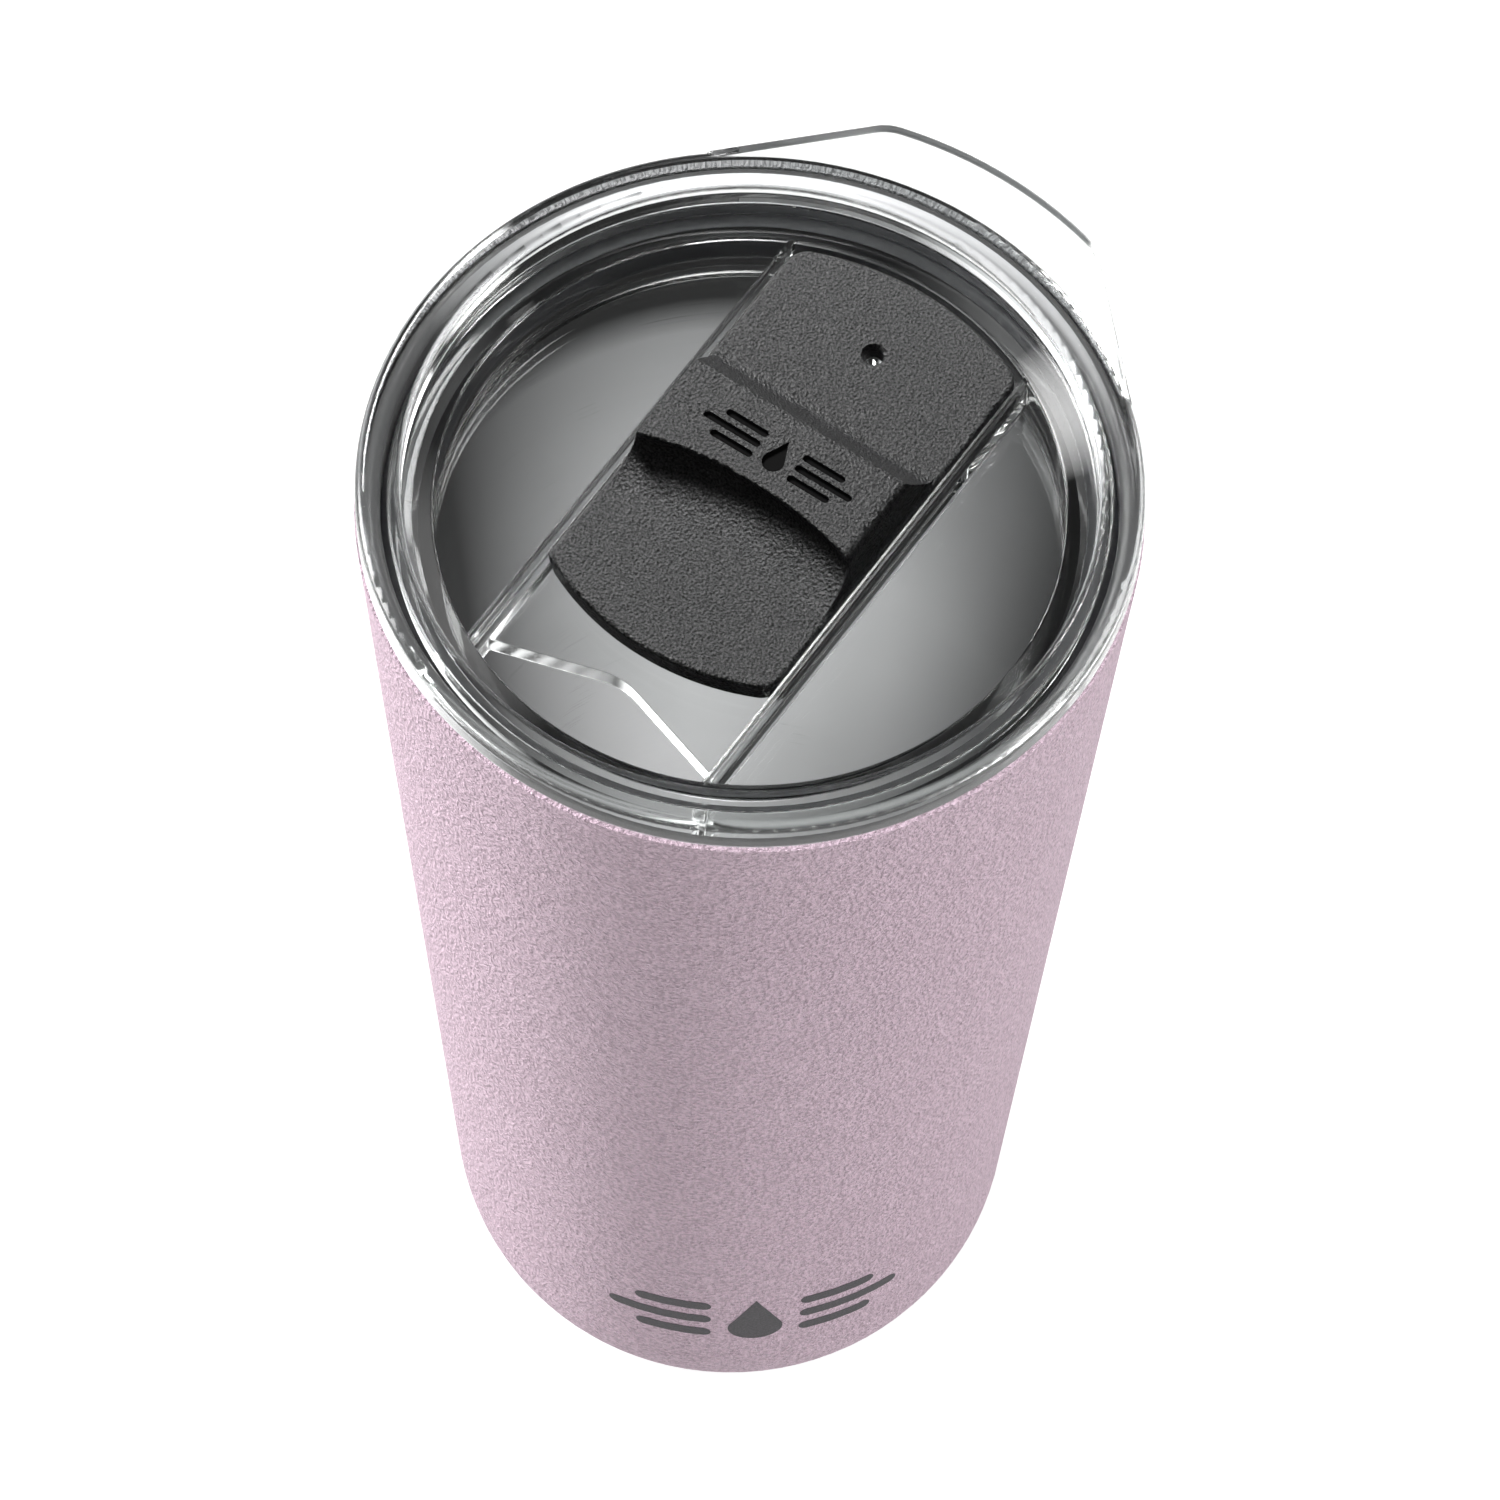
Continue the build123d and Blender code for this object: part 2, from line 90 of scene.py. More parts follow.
# Lights: brightness over a light's face, from its middle to its edge, in shares of its size
LIGHT_CORE = 0.20
LIGHT_EDGE = 0.50
LIGHT_PEAK = 1.25
AIM_VESSEL = 0.55          # height that the lights aim at, as a share of the tumbler's height
AIM_LID = 0.95

# Powder coat
COAT_TONES = ((0.885, 0.662, 0.785, 1), (0.910, 0.685, 0.808, 1))
# Painted shade in the grain's pits, standing in for the orange-peel relief's shading
COAT_PIT_SHADE = (0.53, 0.385, 0.465, 1)
# Painted grey shade on the coat where it shows through the lid
COAT_SHADE_BEHIND_LID = (0.40, 0.40, 0.41, 1)
COAT_GRAIN = 0.52 * MM
COAT_SWELL = 1.3 * MM
COAT_DRIFT = 30 * MM
COAT_RELIEF = 2.7 * MM

# Liner, with light and shade painted into its colour: painted shade from the lid deepens up the wall, a band
# of deeper painted shade lies right under the lid, and the rim is lit
SHADE_Z = (rim_z - 75 * MM, rim_z - 10 * MM)
SHADE_BAND_Z = (rim_z - 29 * MM, rim_z - 22.5 * MM)
LIT_RIM_Z = rim_z - 3 * MM
SHADE_TONE = (0.04, 0.04, 0.04, 1)
SHADE_BAND_TONE = (0.004, 0.004, 0.004, 1)
LIT_RIM_TONE = (0.27, 0.27, 0.275, 1)
# Painted sheen: away from its upright band the liner is painted near black
OFF_SHEEN_TONE = (0.01, 0.01, 0.01, 1)
SHEEN_BAND_TURN = -8.0           # degrees between the viewer and the liner's painted upright sheen band
LINER_GIVES_BACK = 0.3     # share of its light that the liner gives back to its own walls

# Clear plastic
OPENING_BACK_Y = -24 * MM  # the drink opening's cut face lies in front of this
OPENING_HALF_W = 15.2 * MM
WELL_R = 34.9 * MM         # and inside this radius
RING_R = 44.6 * MM         # the pull tab lies outside this radius
CLEAR_TINT = (0.975, 0.985, 0.98, 1)
# Painted shade: the pull tab's edge faces are painted grey, and a line round its rim darker grey
TAB_EDGE_SHADE = (0.30, 0.31, 0.31, 1)
TAB_RIM_SHADE = (0.14, 0.145, 0.145, 1)
PASSING_TINT = (0.90, 0.91, 0.91, 1)
CUT_ROUGH = 0.22
CUT_CLEARNESS = 0.75
TAB_EDGE_DULLNESS = 0.65
CLEAR_EDGE_R = 0.32 * MM

# Black plastic
STOPPER_POLISHED_Z = (grip_top_z - 0.6 * MM, grip_top_z - 0.2 * MM)   # floors of the engraved mark
STOPPER_EDGE_R = 0.10 * MM
POLISHED_TONE = (0.004, 0.004, 0.004, 1)
POLISHED_ROUGH = 0.12

# Printed mark low on the side: a drop between two stacks of three bars
MARK_AZIMUTH = 39.5
MARK_Z = 30 * MM
MARK_LIFT = (0.01 * MM, 0.05 * MM)   # the ink's underside and face, above the coat
MARK_WELD = 0.002 * MM     # points closer than this are one
INK_TONES = ((0.035, 0.033, 0.037, 1), (0.075, 0.068, 0.075, 1))
DROP_R = 3.4 * MM
DROP_CENTRE_DZ = -2.6 * MM
DROP_TIP_DZ = 6.0 * MM
DROP_STEPS = 32
BAR_INNER = 5.5 * MM       # from the drop's centre line to the bars
BAR_LENGTHS = (9.5 * MM, 13.0 * MM, 9.5 * MM)
BAR_PITCH = 4.1 * MM
BAR_T = 2.2 * MM
BAR_END_STEPS = 8
BAR_STRAIGHT_STEPS = 12


# ---- Node helpers ----

def socket_value(tree, socket, value):
    """Fill an input with a number or colour, or link it to another node's output."""
    if isinstance(value, bpy.types.NodeSocket):
        tree.links.new(value, socket)
    else:
        socket.default_value = value


def add_node(tree, kind, inputs=None, **settings):
    """Add a node, set its properties, then fill or link its inputs."""
    made = tree.nodes.new(kind)
    for key, value in settings.items():
        setattr(made, key, value)
    for key, value in (inputs or {}).items():
        socket_value(tree, made.inputs[key], value)
    return made


def math_node(tree, operation, first, second=0.0):
    """The result of one arithmetic step."""
    made = add_node(tree, "ShaderNodeMath", {0: first, 1: second}, operation=operation)
    return made.outputs[0]


def all_of(tree, first, *others):
    """One where every test holds, else zero."""
    result = first
    for test in others:
        result = math_node(tree, "MULTIPLY", result, test)
    return result


def vector_math(tree, operation, first, second=(0.0, 0.0, 0.0), output="Vector"):
    """The result of one step of vector arithmetic."""
    made = add_node(tree, "ShaderNodeVectorMath", {0: first, 1: second}, operation=operation)
    return made.outputs[output]


def component(tree, vector, index):
    """The x, y or z of a vector, as index 0, 1 or 2."""
    return add_node(tree, "ShaderNodeSeparateXYZ", {"Vector": vector}).outputs[index]


def in_plan(tree, vector):
    """A vector with its height taken out."""
    return vector_math(tree, "MULTIPLY", vector, (1, 1, 0))


def size_of(tree, component_value):
    """A number without its sign."""
    return math_node(tree, "ABSOLUTE", component_value)


def noise(tree, vector, size, detail=2.0, roughness=0.5, distortion=0.0):
    """Noise whose features are about `size` metres across, from 0 to 1."""
    made = add_node(tree, "ShaderNodeTexNoise", {
        "Vector": vector, "Scale": 1.0 / size, "Detail": detail, "Roughness": roughness,
        "Distortion": distortion})
    return made.outputs["Fac"]


def ramp(tree, value, low, high, out_low, out_high):
    """Map value from low..high to out_low..out_high, clamped."""
    made = add_node(tree, "ShaderNodeMapRange", {
        "Value": value, "From Min": low, "From Max": high, "To Min": out_low, "To Max": out_high})
    return made.outputs["Result"]


def switch(tree, test, when_not, when_so):
    """when_so where the test is one, and when_not where it is zero."""
    return ramp(tree, test, 0.0, 1.0, when_not, when_so)


def mix_colour(tree, factor, first, second):
    """Blend two colours."""
    made = add_node(tree, "ShaderNodeMix", data_type="RGBA")
    socket_value(tree, made.inputs["Factor"], factor)
    socket_value(tree, made.inputs[6], first)
    socket_value(tree, made.inputs[7], second)
    return made.outputs[2]


def mix_number(tree, factor, first, second):
    """Blend two numbers."""
    return add_node(tree, "ShaderNodeMix", {0: factor, 2: first, 3: second}).outputs[0]


def scaled(colour, factor):
    """A plain colour made lighter or darker, with its alpha."""
    return (*[factor * c for c in colour], 1)


def bump(tree, height, distance, strength=1.0, normal=None):
    """Bump from a height field, with its depth in metres."""
    inputs = {"Height": height, "Distance": distance, "Strength": strength}
    if normal is not None:
        inputs["Normal"] = normal
    return add_node(tree, "ShaderNodeBump", inputs).outputs["Normal"]


def rounded_edges(tree, radius):
    """Normals that turn softly round edges and corners."""
    return add_node(tree, "ShaderNodeBevel", {"Radius": radius}, samples=4).outputs[0]


def true_normal(tree):
    """The flat normal of the face, without any smoothing."""
    return add_node(tree, "ShaderNodeNewGeometry").outputs["True Normal"]


def light_path(tree):
    """What kind of ray has reached the surface."""
    return add_node(tree, "ShaderNodeLightPath").outputs


def start_material(name):
    """A material with a Principled shader, as the material, its tree, the shader and object coordinates."""
    material = bpy.data.materials.new(name)
    material.use_nodes = True
    tree = material.node_tree
    tree.nodes.clear()
    shader = add_node(tree, "ShaderNodeBsdfPrincipled")
    output = add_node(tree, "ShaderNodeOutputMaterial")
    tree.links.new(shader.outputs[0], output.inputs["Surface"])
    place = add_node(tree, "ShaderNodeTexCoord").outputs["Object"]
    return material, tree, shader, place


def fill(tree, shader, **inputs):
    """Fill the Principled shader's inputs; underscores stand for spaces."""
    for key, value in inputs.items():
        socket_value(tree, shader.inputs[key.replace("_", " ")], value)


# ---- Materials ----

def powder_coat():
    """Pale lilac powder coat with a fine orange-peel grain, painted shade in the grain's pits, and painted
    grey shade where it shows through the lid.
    """
    material, tree, shader, place = start_material("powder_coat")
    grain = noise(tree, place, COAT_GRAIN, detail=2.5, roughness=0.6)
    swell = noise(tree, place, COAT_SWELL, detail=1.0)
    height = math_node(tree, "ADD", math_node(tree, "MULTIPLY", grain, 0.7),
                       math_node(tree, "MULTIPLY", swell, 0.3))
    drift = noise(tree, place, COAT_DRIFT, detail=1.0)
    tone = mix_colour(tree, ramp(tree, drift, 0.3, 0.7, 0.0, 1.0), *COAT_TONES)
    # Painted shade: the grain's pits are painted darker
    pit_shade = ramp(tree, grain, 0.38, 0.60, 0.72, 0.0)
    coat = mix_colour(tree, pit_shade, tone, COAT_PIT_SHADE)
    # Painted shade: behind the clear lid the coat is painted grey
    shade_behind_lid = math_node(tree, "GREATER_THAN", light_path(tree)["Transmission Depth"], 0.5)
    colour = mix_colour(tree, shade_behind_lid, coat, COAT_SHADE_BEHIND_LID)
    fill(tree, shader, Base_Color=colour, Roughness=ramp(tree, grain, 0.3, 0.7, 0.62, 0.48),
         Normal=bump(tree, height, COAT_RELIEF))
    return material


def turned_place(tree, place, line_size, round_scale=2.0):
    """Coordinates for marks left by turning: fine across the profile, long round the axis."""
    parts = add_node(tree, "ShaderNodeSeparateXYZ", {"Vector": place})
    x, y, z = parts.outputs[0], parts.outputs[1], parts.outputs[2]
    radius = math_node(tree, "SQRT", math_node(tree, "ADD", math_node(tree, "MULTIPLY", x, x),
                                               math_node(tree, "MULTIPLY", y, y)))
    safe = math_node(tree, "MAXIMUM", radius, 1e-5)
    across = math_node(tree, "ADD", math_node(tree, "DIVIDE", radius, line_size),
                       math_node(tree, "DIVIDE", z, line_size))
    made = add_node(tree, "ShaderNodeCombineXYZ", {
        0: math_node(tree, "MULTIPLY", math_node(tree, "DIVIDE", x, safe), round_scale),
        1: math_node(tree, "MULTIPLY", math_node(tree, "DIVIDE", y, safe), round_scale),
        2: across})
    return made.outputs[0]


def level_facing(tree, turn):
    """How squarely the surface faces the viewer in plan, from 1 down to -1, turned by some degrees."""
    geometry = add_node(tree, "ShaderNodeNewGeometry")
    normal, incoming = (vector_math(tree, "NORMALIZE", in_plan(tree, geometry.outputs[name]))
                        for name in ("Normal", "Incoming"))
    turned = add_node(tree, "ShaderNodeVectorRotate", {"Vector": incoming, "Angle": math.radians(turn)},
                      rotation_type="Z_AXIS")
    return vector_math(tree, "DOT_PRODUCT", normal, turned.outputs[0], output="Value")


def liner_shading(tree, place, tone):
    """The liner's tone with painted shade by height, a painted shade band under the lid, a plain lit rim, its
    weak answer to its own light, and a painted upright sheen band.
    """
    height_z = component(tree, place, 2)
    # Painted shade: darker up the wall towards the lid, then near black in a band right under the lid; the
    # rim above takes a plain grey
    tone = mix_colour(tree, ramp(tree, height_z, *SHADE_Z, 0.0, 0.85), tone, SHADE_TONE)
    tone = mix_colour(tree, ramp(tree, height_z, *SHADE_BAND_Z, 0.0, 0.92), tone, SHADE_BAND_TONE)
    tone = mix_colour(tree, math_node(tree, "GREATER_THAN", height_z, LIT_RIM_Z), tone, LIT_RIM_TONE)
    path = light_path(tree)
    bounced = math_node(tree, "MAXIMUM", math_node(tree, "GREATER_THAN", path["Diffuse Depth"], 0.5),
                        math_node(tree, "GREATER_THAN", path["Glossy Depth"], 0.5))
    kept = math_node(tree, "MULTIPLY", bounced, 1.0 - LINER_GIVES_BACK)
    tone = mix_colour(tree, kept, tone, (0, 0, 0, 1))
    # Painted sheen: the liner is painted near black where it turns away from the viewer, leaving a bright
    # upright band
    off_sheen = ramp(tree, level_facing(tree, SHEEN_BAND_TURN), 0.42, 0.95, 0.90, 0.0)
    return mix_colour(tree, off_sheen, tone, OFF_SHEEN_TONE)


def turned_steel(name, colour, line_size, rough, depth, anisotropy, satin=0.0, shading=None):
    """Steel with fine marks round the axis.

    rough holds the lowest and highest roughness. satin is the share of the skin that scatters like a
    frosted one. shading is a function that paints light and shade into the steel's tone.
    """
    material, tree, shader, place = start_material(name)
    lines = noise(tree, turned_place(tree, place, line_size), 1.0, detail=3.0, roughness=0.65)
    cloud = noise(tree, place, 9 * MM, detail=3.0)
    roughness = math_node(tree, "ADD", ramp(tree, lines, 0.3, 0.7, *rough),
                          ramp(tree, cloud, 0.3, 0.7, -0.02, 0.03))
    tone = mix_colour(tree, ramp(tree, lines, 0.3, 0.7, 0.0, 1.0), scaled(colour, 0.96), scaled(colour, 1))
    if shading is not None:
        tone = shading(tree, place, tone)
    tangent = add_node(tree, "ShaderNodeTangent", direction_type="RADIAL", axis="Z").outputs[0]
    fill(tree, shader, Base_Color=tone, Metallic=1.0 - satin, Roughness=roughness, Anisotropic=anisotropy,
         Anisotropic_Rotation=0.25, Tangent=tangent, Normal=bump(tree, lines, depth, 0.5))
    return material


def clear_plastic():
    """Polished clear copolyester with faint moulding waviness and hair scratches.

    The drink opening's cut face and the pull tab's edge are duller, and the tab's edge faces and rim carry
    painted grey shade. Shadows and matt light pass freely.
    """
    material, tree, shader, place = start_material("clear_plastic")
    wave = noise(tree, place, 14 * MM, detail=1.0)
    scratch = noise(tree, place, 0.5 * MM, detail=4.0, roughness=0.7, distortion=2.0)
    polished = ramp(tree, scratch, 0.62, 0.80, 0.0, 0.03)
    facing = true_normal(tree)
    slope = size_of(tree, component(tree, facing, 2))
    reach = vector_math(tree, "LENGTH", in_plan(tree, place), output="Value")
    cut = all_of(tree, math_node(tree, "LESS_THAN", slope, 0.3),
                 math_node(tree, "LESS_THAN", component(tree, place, 1), OPENING_BACK_Y),
                 math_node(tree, "LESS_THAN", size_of(tree, component(tree, place, 0)), OPENING_HALF_W),
                 math_node(tree, "LESS_THAN", reach, WELL_R))
    on_tab = math_node(tree, "GREATER_THAN", reach, RING_R)
    tab_edge = all_of(tree, on_tab, math_node(tree, "LESS_THAN", slope, 0.6))
    dull = math_node(tree, "MAXIMUM", cut, tab_edge)
    clearness = math_node(tree, "SUBTRACT", switch(tree, cut, 1.0, CUT_CLEARNESS),
                          math_node(tree, "MULTIPLY", tab_edge, TAB_EDGE_DULLNESS))
    rounded = rounded_edges(tree, CLEAR_EDGE_R)
    turn = vector_math(tree, "DOT_PRODUCT", rounded, facing, output="Value")
    tab_rim_shade = all_of(tree, on_tab, ramp(tree, turn, 0.85, 0.99, 1.0, 0.0))
    # Painted shade on the pull tab's edge faces and round its rim
    tint_and_edge_shade = mix_colour(tree, tab_edge, CLEAR_TINT, TAB_EDGE_SHADE)
    tint_and_edge_shade = mix_colour(tree, tab_rim_shade, tint_and_edge_shade, TAB_RIM_SHADE)
    fill(tree, shader, Base_Color=tint_and_edge_shade, Transmission_Weight=clearness, IOR=1.53,
         Roughness=switch(tree, dull, polished, CUT_ROUGH), Normal=bump(tree, wave, 0.10 * MM, 0.35, rounded))
    path = light_path(tree)
    passing = add_node(tree, "ShaderNodeBsdfTransparent", {"Color": PASSING_TINT})
    lets_by = math_node(tree, "MAXIMUM", path["Is Shadow Ray"], path["Is Diffuse Ray"])
    blend = add_node(tree, "ShaderNodeMixShader", {0: lets_by, 1: shader.outputs[0], 2: passing.outputs[0]})
    output = next(n for n in tree.nodes if n.type == "OUTPUT_MATERIAL")
    tree.links.new(blend.outputs[0], output.inputs["Surface"])
    return material


def moulded_black(name, colour, grain_size, depth, rough, polished_z):
    """Black moulding with a spark-eroded skin, and polished flat floors between two heights."""
    material, tree, shader, place = start_material(name)
    grain = noise(tree, place, grain_size, detail=3.0, roughness=0.65)
    pits = add_node(tree, "ShaderNodeTexVoronoi", {"Vector": place, "Scale": 1.0 / (1.4 * grain_size)})
    height = math_node(tree, "ADD", grain, math_node(tree, "MULTIPLY", pits.outputs["Distance"], 0.45))
    fade = noise(tree, place, 6 * MM, detail=2.0)
    tone = mix_colour(tree, ramp(tree, grain, 0.35, 0.65, 0.0, 1.0), scaled(colour, 0.6), scaled(colour, 1.4))
    height_z = component(tree, place, 2)
    polished = all_of(tree, math_node(tree, "GREATER_THAN", height_z, polished_z[0]),
                      math_node(tree, "LESS_THAN", height_z, polished_z[1]),
                      math_node(tree, "GREATER_THAN", component(tree, true_normal(tree), 2), 0.99))
    shine = math_node(tree, "MULTIPLY", ramp(tree, grain, 0.35, 0.65, 0.10, 0.44),
                      switch(tree, polished, 1.0, 0.05))
    fill(tree, shader, Base_Color=mix_colour(tree, polished, tone, POLISHED_TONE), Specular_IOR_Level=shine,
         Roughness=switch(tree, polished, ramp(tree, fade, 0.3, 0.7, *rough), POLISHED_ROUGH),
         Normal=bump(tree, height, depth, switch(tree, polished, 0.8, 0.05),
                     rounded_edges(tree, STOPPER_EDGE_R)))
    return material


def silicone(name, colour):
    """Soft silicone: satin, with a dusty mottling."""
    material, tree, shader, place = start_material(name)
    dust = noise(tree, place, 0.8 * MM, detail=4.0, roughness=0.7)
    tone = mix_colour(tree, ramp(tree, dust, 0.4, 0.75, 0.0, 0.5), scaled(colour, 1),
                      (*[1.5 * c + 0.02 for c in colour], 1))
    fill(tree, shader, Base_Color=tone, IOR=1.41, Roughness=ramp(tree, dust, 0.3, 0.7, 0.42, 0.58),
         Normal=bump(tree, dust, 0.02 * MM, 0.6))
    return material


def cast_metal(name, colour, grain_size, rough):
    """Metal with an uneven skin, for the solder bead and the pressed tablet."""
    material, tree, shader, place = start_material(name)
    grain = noise(tree, place, grain_size, detail=4.0, roughness=0.6)
    tone = mix_colour(tree, ramp(tree, grain, 0.35, 0.65, 0.0, 1.0), scaled(colour, 0.7), scaled(colour, 1))
    fill(tree, shader, Base_Color=tone, Metallic=1.0, Roughness=ramp(tree, grain, 0.3, 0.7, *rough),
         Normal=bump(tree, grain, 0.05 * MM, 0.7))
    return material


def ink():
    """Charcoal screen print with a slightly grainy lay-down."""
    material, tree, shader, place = start_material("mark_ink")
    grain = noise(tree, place, 0.25 * MM, detail=3.0)
    tone = mix_colour(tree, ramp(tree, grain, 0.4, 0.7, 0.0, 1.0), *INK_TONES)
    fill(tree, shader, Base_Color=tone, Roughness=0.55, Normal=bump(tree, grain, 0.03 * MM, 0.6))
    return material


def wear(node_name, material):
    """Give a CAD node one material in every slot."""
    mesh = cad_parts[node_name].data
    mesh.materials.clear()
    mesh.materials.append(material)


liner_steel = turned_steel("liner_steel", (0.52, 0.525, 0.53), line_size=0.10 * MM, rough=(0.28, 0.36),
                           depth=0.001 * MM, anisotropy=0.6, satin=0.5, shading=liner_shading)
base_steel = turned_steel("base_steel", (0.56, 0.56, 0.57), line_size=0.25 * MM, rough=(0.28, 0.42),
                          depth=0.006 * MM, anisotropy=0.3)
wear("outer_shell", powder_coat())
wear("inner_liner", liner_steel)
wear("base_disc", base_steel)
wear("getter_cup", base_steel)
wear("vacuum_seal", cast_metal("solder", (0.60, 0.60, 0.62), grain_size=0.7 * MM, rough=(0.25, 0.45)))
wear("getter_pill", cast_metal("getter_metal", (0.25, 0.25, 0.26), grain_size=0.2 * MM, rough=(0.55, 0.8)))
wear("base_pad", silicone("pad_silicone", (0.055, 0.055, 0.06)))
wear("lid_body", clear_plastic())
wear("lid_gasket", silicone("gasket_silicone", (0.025, 0.025, 0.027)))
wear("stopper", moulded_black("black_plastic", (0.008, 0.008, 0.0082), grain_size=0.30 * MM, depth=0.34 * MM,
                              rough=(0.40, 0.44), polished_z=STOPPER_POLISHED_Z))
wear("stopper_seal", silicone("seal_silicone", (0.05, 0.05, 0.05)))


# ---- Printed mark ----

def bar_outline(centre, length, thickness):
    """Samples (x, low, high) across a bar with round ends."""
    end = thickness / 2
    straight = length / 2 - end
    steps = [math.cos(math.pi * k / (2 * BAR_END_STEPS)) for k in range(BAR_END_STEPS + 1)]
    left = [(-straight - end * c, end * math.sqrt(1 - c * c)) for c in steps]
    middle = [(-straight + 2 * straight * k / BAR_STRAIGHT_STEPS, end) for k in range(1, BAR_STRAIGHT_STEPS)]
    right = [(-x, h) for x, h in reversed(left)]
    return [(centre[0] + x, centre[1] - h, centre[1] + h) for x, h in left + middle + right]


def drop_outline(radius, centre_dz, tip_dz):
    """Samples (x, low, high) across a water drop with its point up."""
    rise = tip_dz - centre_dz
    touch_x = radius * math.sqrt(1 - (radius / rise) ** 2)
    touch_dz = radius * radius / rise
    samples = []
    for k in range(DROP_STEPS + 1):
        x = -radius * math.cos(math.pi * k / DROP_STEPS)
        arc = math.sqrt(max(0.0, radius * radius - x * x))
        flank = rise + (touch_dz - rise) * abs(x) / touch_x
        samples.append((x, centre_dz - arc, centre_dz + (arc if abs(x) > touch_x else flank)))
    return samples


def shell_point(shell, azimuth, z, radius):
    """Where the outer wall stands at an azimuth and a height, and its outward normal."""
    outward = Vector((math.sin(azimuth), -math.cos(azimuth), 0.0))
    start = outward * 2 * radius + Vector((0.0, 0.0, z))
    found, point, normal, _ = shell.ray_cast(start, -outward)
    if not found:
        raise RuntimeError(f"the outer wall has no surface at height {z}")
    return point, normal


def printed_shape(name, samples, material, rows=8):
    """A thin closed skin of ink that follows the outer wall."""
    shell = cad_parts["outer_shell"]
    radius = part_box("outer_shell")[1].x
    middle = math.radians(MARK_AZIMUTH)
    wall_r = shell_point(shell, middle, MARK_Z, radius)[0].xy.length
    builder = bmesh.new()
    layers = []
    for lift in MARK_LIFT:
        grid = []
        for x, low, high in samples:
            column = []
            for row in range(rows + 1):
                z = MARK_Z + low + (high - low) * row / rows
                point, normal = shell_point(shell, middle + x / wall_r, z, radius)
                column.append(builder.verts.new(point + normal * lift))
            grid.append(column)
        layers.append(grid)
    under, face = layers
    last = len(samples) - 1
    for i in range(last):
        for j in range(rows):
            builder.faces.new((face[i][j], face[i + 1][j], face[i + 1][j + 1], face[i][j + 1]))
            builder.faces.new((under[i][j + 1], under[i + 1][j + 1], under[i + 1][j], under[i][j]))
        builder.faces.new((under[i][0], under[i + 1][0], face[i + 1][0], face[i][0]))
        builder.faces.new((face[i][rows], face[i + 1][rows], under[i + 1][rows], under[i][rows]))
    for j in range(rows):
        builder.faces.new((under[0][j + 1], under[0][j], face[0][j], face[0][j + 1]))
        builder.faces.new((under[last][j], under[last][j + 1], face[last][j + 1], face[last][j]))
    bmesh.ops.remove_doubles(builder, verts=builder.verts, dist=MARK_WELD)
    bmesh.ops.recalc_face_normals(builder, faces=builder.faces)
    mesh = bpy.data.meshes.new(name)
    builder.to_mesh(mesh)
    builder.free()
    mesh.materials.append(material)
    piece = bpy.data.objects.new(name, mesh)
    bpy.context.scene.collection.objects.link(piece)
    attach(piece, "vessel")


def print_mark():
    """The generic mark: a drop between two stacks of three bars."""
    material = ink()
    printed_shape("mark_drop", drop_outline(DROP_R, DROP_CENTRE_DZ, DROP_TIP_DZ), material)
    for side, side_name in ((-1, "left"), (1, "right")):
        for row, length in enumerate(BAR_LENGTHS):
            centre = (side * (BAR_INNER + length / 2), (row - 1) * BAR_PITCH)
            printed_shape(f"mark_bar_{side_name}_{row}", bar_outline(centre, length, BAR_T), material)


print_mark()


# ---- Light ----

def round_place(azimuth, elevation, distance, centre=(0.0, 0.0, 0.0)):
    """The point at an azimuth and an elevation, seen from a centre."""
    a, e = math.radians(azimuth), math.radians(elevation)
    reach = distance * math.cos(e)
    return Vector(centre) + Vector((math.sin(a) * reach, -math.cos(a) * reach, distance * math.sin(e)))


def node_collection(name, node_names):
    """A collection of CAD nodes, for linking lights to them."""
    made = bpy.data.collections.new(name)
    for node_name in node_names:
        made.objects.link(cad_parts[node_name])
    return made


def soft_box(name, azimuth, elevation, distance, width, height, strength, only_for=(), not_for=()):
    """A studio light with soft edges, aimed at the tumbler; strength is its surface brightness.

    With only_for, the light falls on those nodes alone and nothing else stands in its way.
    With not_for, it misses those nodes.
    """
    light = bpy.data.lights.new(name, "AREA")
    light.shape = "RECTANGLE"
    light.size = width
    light.size_y = height
    light.energy = strength * width * height * math.pi
    lamp = bpy.data.objects.new(name, light)
    bpy.context.scene.collection.objects.link(lamp)
    target = Vector((0.0, 0.0, (AIM_LID if only_for else AIM_VESSEL) * cad_high.z))
    lamp.location = round_place(azimuth, elevation, distance, target)
    lamp.rotation_mode = "QUATERNION"
    lamp.rotation_quaternion = (target - lamp.location).to_track_quat("-Z", "Y")
    lamp.visible_camera = False
    if only_for:
        lit = node_collection(name + "_lights", only_for)
        lamp.light_linking.receiver_collection = lit
        lamp.light_linking.blocker_collection = lit
    if not_for:
        missed = node_collection(name + "_misses", not_for)
        for link in missed.collection_objects:
            link.light_linking.link_state = "EXCLUDE"
        lamp.light_linking.receiver_collection = missed
    light.use_nodes = True
    tree = light.node_tree
    glow = next(n for n in tree.nodes if n.type == "EMISSION")
    spot = add_node(tree, "ShaderNodeNewGeometry").outputs["Parametric"]
    offset = vector_math(tree, "DISTANCE", spot, (0.5, 0.5, 0.0), output="Value")
    socket_value(tree, glow.inputs["Strength"], ramp(tree, offset, LIGHT_CORE, LIGHT_EDGE, LIGHT_PEAK, 0.0))


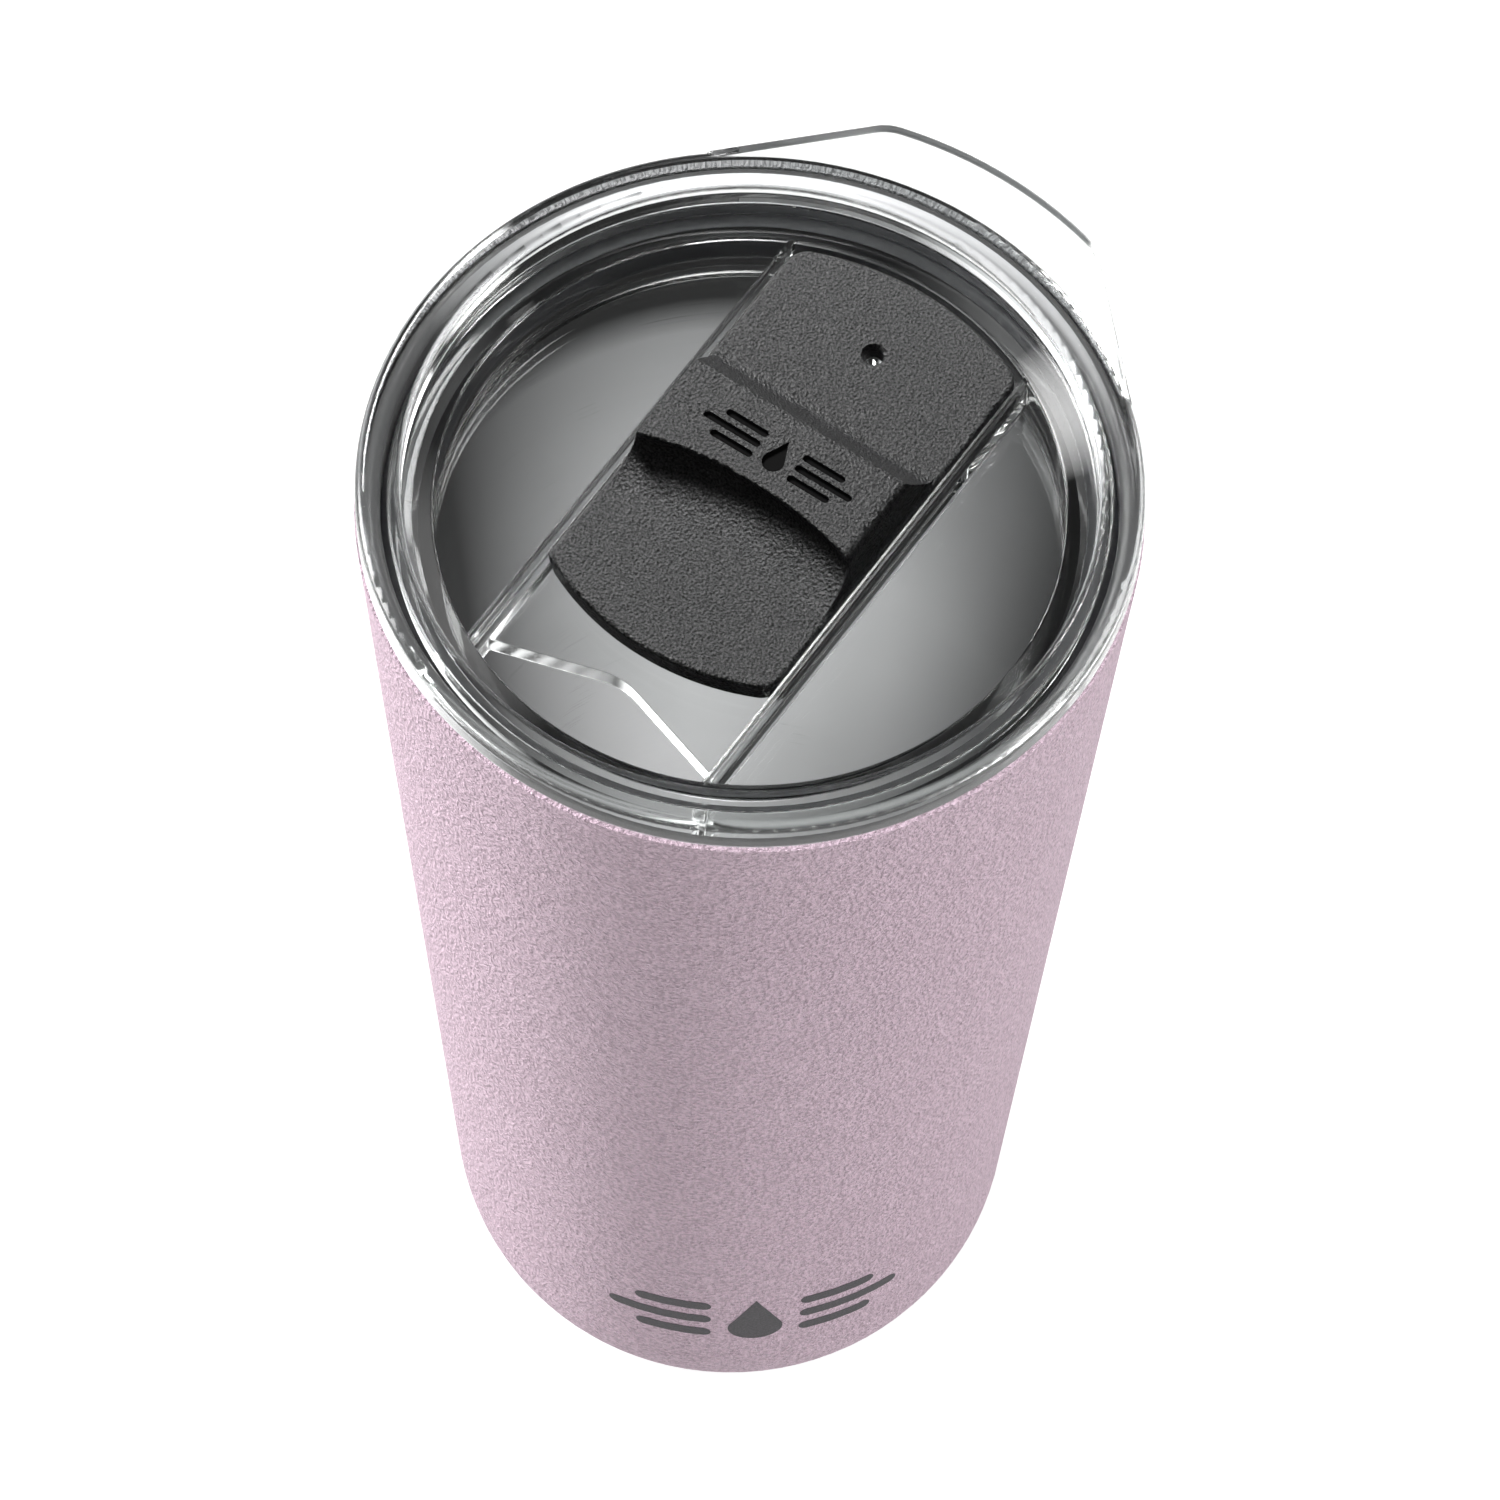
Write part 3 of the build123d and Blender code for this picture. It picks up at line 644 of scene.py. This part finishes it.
soft_box("key_left", azimuth=LEFT - 15, elevation=28, distance=1.1, width=0.6, height=1.1,
         strength=16.5, not_for=("stopper",))
soft_box("fill_right", azimuth=RIGHT - 14, elevation=25, distance=1.2, width=0.5, height=1.0,
         strength=9.4, not_for=("stopper",))
soft_box("back_left", azimuth=BEHIND + 26, elevation=53, distance=1.2, width=0.36, height=0.36,
         strength=30.0, not_for=("stopper",))
soft_box("grip_sheen", azimuth=BEHIND + 24, elevation=39, distance=0.35, width=0.12, height=0.12,
         strength=225.0, only_for=("stopper",))
soft_box("back_card", azimuth=BEHIND - 42, elevation=22, distance=0.9, width=0.9, height=0.7,
         strength=1.5, only_for=("lid_body",))
soft_box("cup_glow", azimuth=CAMERA_AZIMUTH + 20, elevation=66, distance=0.9, width=0.4, height=0.4,
         strength=175.0, only_for=("inner_liner",))


# ---- Stage ----

def make_floor():
    """Pale seamless floor that looks almost white and takes a faint contact shadow.

    Its brightness depends on the ray that sees it, as white and black cards round a product do.
    """
    floor_mesh = bpy.data.meshes.new("floor")
    builder = bmesh.new()
    bmesh.ops.create_grid(builder, x_segments=2, y_segments=2, size=FLOOR_HALF)
    builder.to_mesh(floor_mesh)
    builder.free()
    floor = bpy.data.objects.new("floor", floor_mesh)
    floor.location.z = cad_low.z - 0.02 * MM
    bpy.context.scene.collection.objects.link(floor)
    material, tree, shader, place = start_material("floor")
    path = light_path(tree)
    reach = vector_math(tree, "LENGTH", place, output="Value")
    straight = all_of(tree, math_node(tree, "LESS_THAN", path["Transmission Depth"], 2.5),
                      math_node(tree, "LESS_THAN", path["Glossy Depth"], 0.5),
                      ramp(tree, reach, *FLOOR_NEAR, 1.0, 0.0))
    side = vector_math(tree, "DOT_PRODUCT", place, round_place(RIGHT + 25, 0, 1.0), output="Value")
    deep = ramp(tree, side, -FLOOR_TURN, FLOOR_TURN, *FLOOR_DEEP)
    beyond = switch(tree, straight, deep, FLOOR_THROUGH)
    seen = mix_number(tree, path["Is Camera Ray"], beyond, FLOOR_GLOW)
    glow = mix_number(tree, path["Is Diffuse Ray"], seen, FLOOR_BOUNCE)
    fill(tree, shader, Base_Color=(0.30, 0.30, 0.30, 1), Roughness=0.9, Specular_IOR_Level=0.0,
         Emission_Color=(1, 1, 1, 1), Emission_Strength=glow)
    floor_mesh.materials.append(material)


def make_world():
    """Pale to the camera, dim to everything else, so the clear plastic keeps its dark lines."""
    world = bpy.data.worlds.new("studio")
    bpy.context.scene.world = world
    world.use_nodes = True
    tree = world.node_tree
    tree.nodes.clear()
    path = light_path(tree)
    dim = switch(tree, path["Is Diffuse Ray"], WORLD_MIRRORED, WORLD_MATT)
    strength = math_node(tree, "MAXIMUM", dim, math_node(tree, "MULTIPLY", path["Is Camera Ray"], WORLD_SEEN))
    background = add_node(tree, "ShaderNodeBackground", {"Color": (1, 1, 1, 1), "Strength": strength})
    output = add_node(tree, "ShaderNodeOutputWorld")
    tree.links.new(background.outputs[0], output.inputs["Surface"])


def make_camera():
    """Camera at the product shot's angle: high in front, to the right of the drink opening."""
    data = bpy.data.cameras.new("camera")
    data.lens = CAMERA_LENS
    data.sensor_width = CAMERA_SENSOR
    data.clip_start = 0.05
    data.clip_end = 50.0
    camera = bpy.data.objects.new("camera", data)
    bpy.context.scene.collection.objects.link(camera)
    camera.matrix_world = (Matrix.Rotation(math.radians(CAMERA_AZIMUTH), 4, "Z")
                           @ Matrix.Translation((0.0, -CAMERA_REACH, CAMERA_HEIGHT))
                           @ Matrix.Rotation(math.radians(90 - CAMERA_PITCH), 4, "X")
                           @ Matrix.Rotation(math.radians(-CAMERA_YAW), 4, "Y")
                           @ Matrix.Rotation(math.radians(CAMERA_ROLL), 4, "Z"))
    bpy.context.scene.camera = camera


make_floor()
make_world()
make_camera()
bpy.context.scene.view_settings.view_transform = "Standard"

# Light needs this many bounces to leave the lid's nested clear walls
bpy.context.scene.cycles.max_bounces = 20
bpy.context.scene.cycles.glossy_bounces = 14
bpy.context.scene.cycles.transmission_bounces = 18
